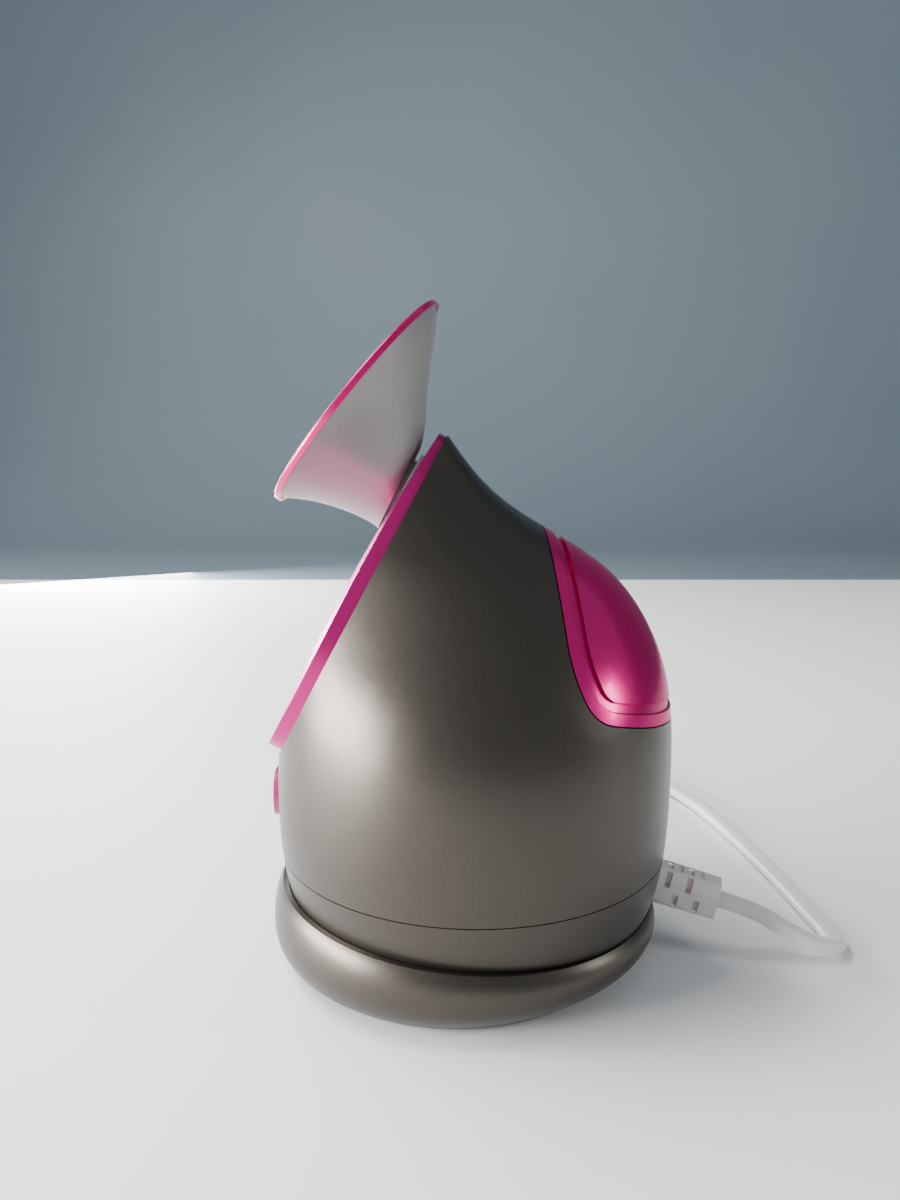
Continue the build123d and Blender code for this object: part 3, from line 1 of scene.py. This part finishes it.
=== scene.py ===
"""Cool mist humidifier: finishes, cord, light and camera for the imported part."""
import bpy
import bmesh
import json
from math import cos, pi, radians, sin
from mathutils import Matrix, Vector


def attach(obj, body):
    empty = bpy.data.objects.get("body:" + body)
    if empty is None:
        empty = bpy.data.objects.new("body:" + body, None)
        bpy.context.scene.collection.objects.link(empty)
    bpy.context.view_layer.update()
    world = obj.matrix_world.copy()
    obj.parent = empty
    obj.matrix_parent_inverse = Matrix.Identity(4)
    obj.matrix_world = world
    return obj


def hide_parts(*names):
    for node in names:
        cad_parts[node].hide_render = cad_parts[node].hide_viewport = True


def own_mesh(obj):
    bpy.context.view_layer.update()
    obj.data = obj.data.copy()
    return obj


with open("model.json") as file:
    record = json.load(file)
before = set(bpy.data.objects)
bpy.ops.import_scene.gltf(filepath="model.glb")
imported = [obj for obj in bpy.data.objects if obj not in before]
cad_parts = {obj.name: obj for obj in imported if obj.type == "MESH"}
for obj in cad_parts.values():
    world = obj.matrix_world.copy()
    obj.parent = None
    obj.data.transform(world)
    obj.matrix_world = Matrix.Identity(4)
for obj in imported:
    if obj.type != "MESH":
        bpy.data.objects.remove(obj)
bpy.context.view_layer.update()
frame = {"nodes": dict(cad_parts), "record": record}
nodes = frame["nodes"]
MM = 0.001


def new_object(name, data):
    """An object of that data, in the scene."""
    made = bpy.data.objects.new(name, data)
    bpy.context.collection.objects.link(made)
    return made


def object_from(form, name, smooth):
    """Turns a finished bmesh into an object."""
    mesh = bpy.data.meshes.new(name)
    form.to_mesh(mesh)
    form.free()
    mesh.polygons.foreach_set("use_smooth", [smooth] * len(mesh.polygons))
    return new_object(name, mesh)


# ---------------------------------------------------------------- material helpers
class Shade:
    """A Principled material in the making, with short ways to add nodes to it.

    Scales are per metre, and a bump's height is in metres.
    """

    def __init__(self, name, **sockets):
        self.material = bpy.data.materials.new(name)
        self.material.use_nodes = True
        self.tree = self.material.node_tree
        self.shader = self.tree.nodes["Principled BSDF"]
        for socket, value in sockets.items():
            self.shader.inputs[socket.replace("_", " ")].default_value = value
        self.place = self.node("ShaderNodeTexCoord").outputs["Object"]

    def node(self, kind, **values):
        made = self.tree.nodes.new(kind)
        for key, value in values.items():
            if key in made.inputs:
                made.inputs[key].default_value = value
            else:
                setattr(made, key, value)
        return made

    def link(self, source, target):
        self.tree.links.new(source, target)

    def noise(self, scale, detail=2.0, stretch=(1, 1, 1)):
        mapping = self.node("ShaderNodeMapping", Scale=stretch)
        self.link(self.place, mapping.inputs["Vector"])
        made = self.node("ShaderNodeTexNoise", Scale=scale, Detail=detail)
        self.link(mapping.outputs["Vector"], made.inputs["Vector"])
        return made.outputs["Fac"]

    def cells(self, scale, output="Color"):
        made = self.node("ShaderNodeTexVoronoi", Scale=scale)
        self.link(self.place, made.inputs["Vector"])
        return made.outputs[output]

    def span(self, source, low, high, start=0.0, end=1.0):
        """Maps a factor from start..end to low..high."""
        made = self.node(
            "ShaderNodeMapRange",
            **{"From Min": start, "From Max": end, "To Min": low, "To Max": high},
        )
        self.link(source, made.inputs["Value"])
        return made.outputs["Result"]

    def mix(self, factor, first, second):
        """Mixes two colours by a factor."""
        made = self.node("ShaderNodeMix", data_type="RGBA")
        self.link(factor, made.inputs["Factor"])
        made.inputs["A"].default_value = (*first, 1)
        made.inputs["B"].default_value = (*second, 1)
        return made.outputs["Result"]

    def colour(self, source):
        self.link(source, self.shader.inputs["Base Color"])

    def roughness(self, source):
        self.link(source, self.shader.inputs["Roughness"])

    def bump(self, source, height, strength=1.0):
        made = self.node("ShaderNodeBump", Strength=strength, Distance=height)
        self.link(source, made.inputs["Height"])
        self.link(made.outputs["Normal"], self.shader.inputs["Normal"])


def lacquer(name, dark, light, rough, metallic):
    """Metallic lacquer: fine flakes that differ in tone, under a soft clear coat."""
    shade = Shade(name, Metallic=metallic, Coat_Weight=0.15, Coat_Roughness=0.3)
    flakes = shade.cells(7500)
    shade.colour(shade.mix(shade.span(flakes, 0, 1, 0.1, 0.95), dark, light))
    shade.roughness(shade.span(flakes, rough - 0.05, rough + 0.05))
    shade.bump(flakes, 0.000004, 0.3)
    return shade.material


def gloss(name, deep, bright, rough=0.09, coat=0.6, **sockets):
    """Moulded gloss plastic with a slow drift of tone and a faint polish texture."""
    shade = Shade(name, Coat_Weight=coat, Coat_Roughness=0.04, **sockets)
    shade.colour(shade.mix(shade.noise(28), deep, bright))
    shade.roughness(shade.span(shade.noise(300, 2), rough - 0.02, rough + 0.02))
    shade.bump(shade.noise(120), 0.00001, 0.25)
    return shade.material


def moulded(name, deep, bright, rough=0.5, grain=2600, height=0.00003, **sockets):
    """Plain moulded plastic or rubber with a spark-eroded grain."""
    shade = Shade(name, **sockets)
    shade.colour(shade.mix(shade.noise(45), deep, bright))
    shade.roughness(shade.span(shade.noise(420, 3), rough - 0.06, rough + 0.08))
    shade.bump(shade.noise(grain, 3), height, 0.6)
    return shade.material


def metal(name, deep, bright, rough=0.3, stretch=(1, 1, 14)):
    """Metal with fine lines drawn along one direction."""
    shade = Shade(name, Metallic=1.0)
    lines = shade.noise(900, 3, stretch)
    shade.colour(shade.mix(lines, deep, bright))
    shade.roughness(shade.span(lines, rough - 0.08, rough + 0.12))
    shade.bump(lines, 0.00001, 0.4)
    return shade.material


def board(name):
    """Solder-masked board: dark green with slightly raised lighter tracks."""
    shade = Shade(name, Coat_Weight=0.4, Coat_Roughness=0.15)
    made = shade.node("ShaderNodeTexBrick", Scale=240.0)
    made.inputs["Color1"].default_value = (0.010, 0.10, 0.035, 1)
    made.inputs["Color2"].default_value = (0.014, 0.13, 0.05, 1)
    made.inputs["Mortar"].default_value = (0.03, 0.24, 0.10, 1)
    made.inputs["Mortar Size"].default_value = 0.05
    shade.link(shade.place, made.inputs["Vector"])
    shade.colour(made.outputs["Color"])
    shade.roughness(shade.span(shade.noise(300), 0.28, 0.42))
    shade.bump(made.outputs["Fac"], 0.00004, 0.6)
    return shade.material


def winding(name):
    """Enamelled copper wire, laid turn by turn."""
    shade = Shade(name, Metallic=1.0, Coat_Weight=0.5)
    turns = shade.node("ShaderNodeTexWave", Scale=900.0, Distortion=0.4, bands_direction="Z")
    shade.link(shade.place, turns.inputs["Vector"])
    shade.colour(shade.mix(turns.outputs["Fac"], (0.28, 0.08, 0.03), (0.72, 0.30, 0.12)))
    shade.roughness(shade.span(turns.outputs["Fac"], 0.5, 0.25))
    shade.bump(turns.outputs["Fac"], 0.00015, 0.8)
    return shade.material


def window(name):
    """Tinted clear plastic, seen through into a darker inside."""
    shade = Shade(
        name, Transmission_Weight=0.2, Metallic=0.6, IOR=1.49, Coat_Weight=0.15,
        Coat_Roughness=0.06, Specular_Tint=(1.0, 0.3, 0.6, 1),
    )
    shade.colour(shade.mix(shade.noise(18), (0.50, 0.003, 0.14), (0.60, 0.006, 0.175)))
    shade.roughness(shade.span(shade.noise(200, 2), 0.22, 0.27))
    shade.bump(shade.noise(90), 0.00001, 0.25)
    return shade.material


FINISHES = {
    "housing_paint": lacquer(
        "housing lacquer", (0.054, 0.0465, 0.038), (0.072, 0.063, 0.053), 0.37, 0.9),
    "nozzle_paint": lacquer("nozzle lacquer", (0.23, 0.22, 0.21), (0.27, 0.26, 0.25), 0.45, 0.35),
    "panel_magenta": gloss(
        "panel magenta", (0.40, 0.008, 0.13), (0.48, 0.013, 0.17), 0.2, 0.05,
        Metallic=0.6, Specular_Tint=(1.0, 0.36, 0.85, 1)),
    "button_pink": gloss("button pink", (0.32, 0.014, 0.12), (0.40, 0.022, 0.16), 0.2, 0.2),
    "tank_magenta": window("tank window"),
    "tank_base_dark": gloss("tank floor", (0.07, 0.002, 0.02), (0.12, 0.004, 0.035), 0.2, 0.3),
    "foot_rubber": moulded("foot rubber", (0.012, 0.012, 0.013), (0.024, 0.024, 0.025), 0.75),
    "seal_silicone": moulded(
        "silicone", (0.62, 0.61, 0.57), (0.72, 0.71, 0.67), 0.45, Subsurface_Weight=0.3),
    "inner_plastic": moulded("white moulding", (0.66, 0.66, 0.64), (0.75, 0.75, 0.73), 0.42),
    "dark_plastic": moulded("black moulding", (0.012, 0.012, 0.014), (0.026, 0.026, 0.029), 0.48),
    "steel": metal("plated steel", (0.42, 0.42, 0.43), (0.62, 0.62, 0.62), 0.32),
    "stainless": metal("stainless steel", (0.50, 0.50, 0.49), (0.68, 0.68, 0.67), 0.26),
    "sink_aluminium": metal("extruded aluminium", (0.60, 0.61, 0.62), (0.78, 0.79, 0.80), 0.36),
    "copper_winding": winding("copper winding"),
    "piezo_silver": metal("silvered disc", (0.62, 0.58, 0.48), (0.80, 0.77, 0.68), 0.24, (1, 1, 1)),
    "board_green": board("solder mask"),
    "magnet_grey": moulded("ferrite", (0.05, 0.05, 0.055), (0.09, 0.09, 0.095), 0.4, 1200),
    "led_clear": gloss("clear epoxy", (0.80, 0.72, 0.74), (0.90, 0.84, 0.85), 0.1, 0.3),
    "cord_white": moulded(
        "cord sheath", (0.66, 0.645, 0.635), (0.74, 0.725, 0.715), 0.42, 1800, 0.00002,
        Subsurface_Weight=0.15, Coat_Weight=0.15),
    "pin_nickel": metal("nickel plate", (0.58, 0.56, 0.52), (0.74, 0.72, 0.68), 0.2),
}

RIM_FINISH = gloss(
    "rim magenta", (0.42, 0.002, 0.10), (0.52, 0.005, 0.14), 0.14, 0.2,
    Metallic=0.5, Specular_Tint=(1.0, 0.3, 0.6, 1))

for subpart in frame["record"]["subparts"]:
    piece = nodes[subpart["node"]]
    finish = RIM_FINISH if subpart["node"] == "nozzle_rim" else FINISHES[subpart["material_slot"]]
    piece.data.materials.clear()
    piece.data.materials.append(finish)


# ---------------------------------------------------------------- valve spring
# A copy of the spring's mesh, carried by the cap; the imported spring is hidden.
spring = new_object("closing_spring", nodes["valve_spring"].data.copy())
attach(spring, "cap")
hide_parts("valve_spring")
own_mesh(spring)


# ---------------------------------------------------------------- cord
CORD_W = 6.5 * MM
CORD_T = 4.4 * MM
COIL_CENTRE = (-118.0, 16.0)   # this and the points below are in millimetres
CORD_EXIT = (6.0, 75.4, 14.1)
FLOOR_RUN_Z = 2.5

# From the housing to the coil, and from the coil's last turn to the plug.
LYING = [
    CORD_EXIT, (8.7, 85.9, 11.9), (14.0, 94.6, 7.8), (16.6, 101.6, 5.0), (14.4, 108.5, 3.4),
    (6.6, 110.6, FLOOR_RUN_Z), (-5.0, 109.4, FLOOR_RUN_Z), (-22.0, 108.2, FLOOR_RUN_Z),
    (-47.0, 105.5, FLOOR_RUN_Z), (-75.0, 101.4, FLOOR_RUN_Z), (-100.0, 96.0, FLOOR_RUN_Z),
    (-126.0, 84.0, FLOOR_RUN_Z), (-147.0, 65.0, FLOOR_RUN_Z), (-157.3, 43.0, FLOOR_RUN_Z),
    (-157.3, 27.0, FLOOR_RUN_Z),
]
TAIL = [(-126.4, -31.2, 9.2), (-113.0, -36.8, 6.8), (-98.5, -36.8, 6.8)]

COIL_TURNS = 5.125
POINTS_A_TURN = 16
OUTER_R = 39.4
INNER_R = 32.7
# Radius and height of each turn of the coil, from the one that the cord comes in on.
TURNS = [(OUTER_R, 2.5), (INNER_R, 2.5), (INNER_R, 7.0), (OUTER_R, 7.0), (OUTER_R, 11.2),
         (OUTER_R, 11.2)]


def coil_points():
    """Anticlockwise turns side by side and in layers, starting on the coil's far side."""
    points = []
    for step in range(int(COIL_TURNS * POINTS_A_TURN) + 1):
        turn, part = divmod(step, POINTS_A_TURN)
        crossing = min(1.0, max(0.0, (part / POINTS_A_TURN - 0.75) * 4))   # the last quarter
        here, after = TURNS[turn], TURNS[min(turn + 1, len(TURNS) - 1)]
        radius = here[0] + (after[0] - here[0]) * crossing
        height = here[1] + (after[1] - here[1]) * crossing
        angle = pi + 2 * pi * step / POINTS_A_TURN
        points.append((
            COIL_CENTRE[0] + radius * cos(angle), COIL_CENTRE[1] + radius * sin(angle), height
        ))
    return points


def nurbs(name, points):
    """An open spline with these control points, in metres."""
    curve = bpy.data.curves.new(name, "CURVE")
    curve.dimensions = "3D"
    spline = curve.splines.new("NURBS")
    spline.points.add(len(points) - 1)
    for target, point in zip(spline.points, points):
        target.co = (*(Vector(point) * MM), 1)
    spline.order_u = 3
    spline.use_endpoint_u = True
    curve.resolution_u = 8
    return new_object(name, curve)


def curve_points(piece):
    """The points along a curve that has no bevel."""
    depsgraph = bpy.context.evaluated_depsgraph_get()
    mesh = bpy.data.meshes.new_from_object(piece.evaluated_get(depsgraph))
    points = [vertex.co.copy() for vertex in mesh.vertices]
    bpy.data.meshes.remove(mesh)
    return points


def flat_lead_section(count=20):
    """Two cores side by side: an oval pinched along the middle of each broad side."""
    pinch_depth = 0.16
    pinch_reach = 0.22 * CORD_W
    fullness = 0.8   # below 1, the oval's broad sides are flatter than an ellipse's
    section = []
    for step in range(count):
        angle = 2 * pi * step / count
        across = cos(angle) * CORD_W / 2
        pinch = 1 - pinch_depth * max(0.0, 1 - (across / pinch_reach) ** 2)
        side = 1 if sin(angle) > 0 else -1
        section.append((across, abs(sin(angle)) ** fullness * side * CORD_T / 2 * pinch))
    return section


def sweep_flat(name, points, section):
    """A closed tube of that section, its broad sides kept level."""
    form = bmesh.new()
    rings = []
    for index, point in enumerate(points):
        ahead = points[min(index + 1, len(points) - 1)] - points[max(index - 1, 0)]
        side = Vector((0, 0, 1)).cross(ahead).normalized()
        up = ahead.cross(side).normalized()
        rings.append([form.verts.new(point + side * x + up * z) for x, z in section])
    for ring, after in zip(rings, rings[1:]):
        for index in range(len(section)):
            following = (index + 1) % len(section)
            form.faces.new((ring[index], ring[following], after[following], after[index]))
    form.faces.new(rings[0][::-1])
    form.faces.new(rings[-1])
    bmesh.ops.recalc_face_normals(form, faces=form.faces)
    return object_from(form, name, smooth=True)


guide = nurbs("cord_guide", LYING[:-1] + coil_points() + TAIL)
cord_line = curve_points(guide)
bpy.data.objects.remove(guide)
cord = sweep_flat("lead", cord_line, flat_lead_section())
cord.data.materials.append(FINISHES["cord_white"])
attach(cord, "housing")
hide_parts("power_cord", "cord_coil")


TIE_HALF_WIDTH = 7.6
TIE_MIDDLE_Z = 7.3
TIE_HALF_HEIGHT = 6.6
TIE_POINTS = 24


def tie_points(angle):
    """Points of a loop round the coil's bundle at one place, flattened above and below."""
    points = []
    out = Vector((cos(angle), sin(angle), 0))
    centre = Vector((*COIL_CENTRE, TIE_MIDDLE_Z)) + out * (OUTER_R + INNER_R) / 2
    for step in range(TIE_POINTS):
        turn = 2 * pi * step / TIE_POINTS
        lift = TIE_HALF_HEIGHT * max(-0.96, min(1.0, 1.15 * sin(turn)))
        points.append((centre + out * TIE_HALF_WIDTH * cos(turn) + Vector((0, 0, lift))) * MM)
    return points


def strap(name, points, width, thickness):
    """A closed flat band through points that go once round."""
    form = bmesh.new()
    middle = sum(points, Vector()) / len(points)
    along = (points[len(points) // 4] - middle).cross(points[0] - middle).normalized()
    rings = []
    for point in points:
        out = (point - middle).normalized()
        rings.append([
            form.verts.new(point + along * (a * width / 2) + out * (b * thickness / 2))
            for a, b in ((-1, -1), (1, -1), (1, 1), (-1, 1))
        ])
    for index, ring in enumerate(rings):
        after = rings[(index + 1) % len(rings)]
        for corner in range(4):
            following = (corner + 1) % 4
            form.faces.new((ring[corner], ring[following], after[following], after[corner]))
    bmesh.ops.recalc_face_normals(form, faces=form.faces)
    return object_from(form, name, smooth=False)


tie = strap("coil_tie", tie_points(radians(20)), width=5 * MM, thickness=0.9 * MM)
tie.data.materials.append(FINISHES["foot_rubber"])
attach(tie, "housing")


# ---------------------------------------------------------------- stage, light and camera
def stage_material(name, deep, bright):
    """A plain matt surface with a slight drift of tone."""
    shade = Shade(name, Roughness=0.62)
    shade.colour(shade.mix(shade.noise(3), deep, bright))
    shade.bump(shade.noise(600), 0.00003, 0.3)
    return shade.material


def sweep_stage(size=9.0, edge=0.76, bend=0.6, depth=1.1, height=2.6):
    """A pale floor, and beyond its edge a darker one that curves up into a backdrop."""
    form = bmesh.new()
    profile = [(size, 0.0), (-edge, 0.0), (-depth, 0.0)]
    for angle in range(10, 91, 10):
        profile.append((
            -depth - bend * sin(radians(angle)), bend - bend * cos(radians(angle))
        ))
    profile.append((-depth - bend, height))
    rows = [[form.verts.new((x, y, z)) for y in (-size, size)] for x, z in profile]
    for row, after in zip(rows, rows[1:]):
        face = form.faces.new((row[0], row[1], after[1], after[0]))
        face.material_index = 0 if row is rows[0] else 1
    floor = object_from(form, "floor", smooth=True)
    for finish in (
        stage_material("pale floor", (0.76, 0.76, 0.76), (0.80, 0.80, 0.80)),
        stage_material("backdrop", (0.13, 0.17, 0.20), (0.15, 0.19, 0.22)),
    ):
        floor.data.materials.append(finish)


def softbox(name, at, towards, width, height, power):
    """A rectangular area light aimed at a point, which the camera doesn't see.

    Lengths are in metres and the power is in watts.
    """
    light = bpy.data.lights.new(name, "AREA")
    light.shape = "RECTANGLE"
    light.size = width
    light.size_y = height
    light.energy = power
    lamp = new_object(name, light)
    lamp.location = at
    lamp.rotation_euler = (Vector(towards) - Vector(at)).to_track_quat("-Z", "Y").to_euler()
    lamp.visible_camera = False


sweep_stage()
MIDDLE = (0.0, 0.0, 0.09)
softbox("left window", (0.20, -0.92, 0.17), MIDDLE, 0.72, 0.42, 54.0)
softbox("rear left window", (-0.75, -0.42, 0.16), MIDDLE, 0.25, 0.45, 12.0)
softbox("right fill", (0.15, 0.85, 0.30), MIDDLE, 0.10, 0.22, 2.0)
softbox("overhead", (-0.2, -0.7, 1.2), (0.1, 0.0, 0.0), 0.8, 0.6, 26.0)

world = bpy.data.worlds.new("studio")
world.use_nodes = True
background = world.node_tree.nodes["Background"]
background.inputs["Color"].default_value = (0.46, 0.50, 0.54, 1)
background.inputs["Strength"].default_value = 0.8
bpy.context.scene.world = world

# The camera looks along -X, a little downwards, from close by.
CAMERA_AT = (0.258, -0.0047, 0.147)
CAMERA_TILT = radians(9.5)
CAMERA_LENS = 27.03
camera_data = bpy.data.cameras.new("camera")
camera_data.lens = CAMERA_LENS
camera_data.sensor_width = 36
camera_data.clip_start = 0.01
camera = new_object("camera", camera_data)
camera.location = CAMERA_AT
camera.rotation_euler = (pi / 2 - CAMERA_TILT, 0, pi / 2)
bpy.context.scene.camera = camera
